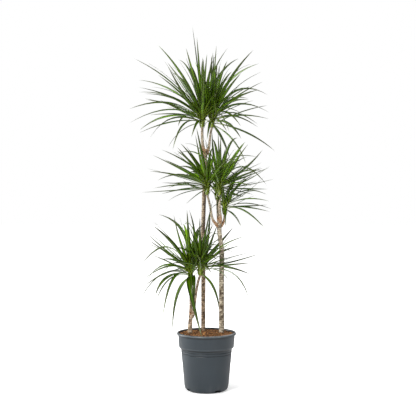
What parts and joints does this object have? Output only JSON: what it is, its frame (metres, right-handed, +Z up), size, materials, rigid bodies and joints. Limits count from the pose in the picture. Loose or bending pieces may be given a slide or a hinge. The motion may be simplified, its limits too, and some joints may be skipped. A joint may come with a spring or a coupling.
{
  "type": "potted dracaena",
  "caption": "Potted dracaena: bare forked canes of different heights with heads of long narrow pointed leaves, standing in soil in a tapered nursery pot.",
  "frame": {"origin": "centre of the pot's flat underside, on the surface the plant stands on", "axes": "+Z up along the pot's axis, front of the plant towards -Y, +X to the right as seen from the front"},
  "size_m": [0.6166, 0.6107, 1.475],
  "materials": {
    "pot_plastic": "satin",
    "potting_soil": "matte",
    "cane_bark": "matte",
    "leaf_green": "satin"
  },
  "bodies": {
    "root": {"pot": "pot_plastic", "potting_soil": "potting_soil", "cane_tall": "cane_bark", "cane_medium": "cane_bark", "cane_short": "cane_bark", "head_tall_left": "leaf_green", "head_tall_right": "leaf_green", "head_medium_left": "leaf_green", "head_medium_middle": "leaf_green", "head_medium_back": "leaf_green", "head_medium_right": "leaf_green", "head_short_left": "leaf_green", "head_short_right": "leaf_green"}
  },
  "joints": []
}
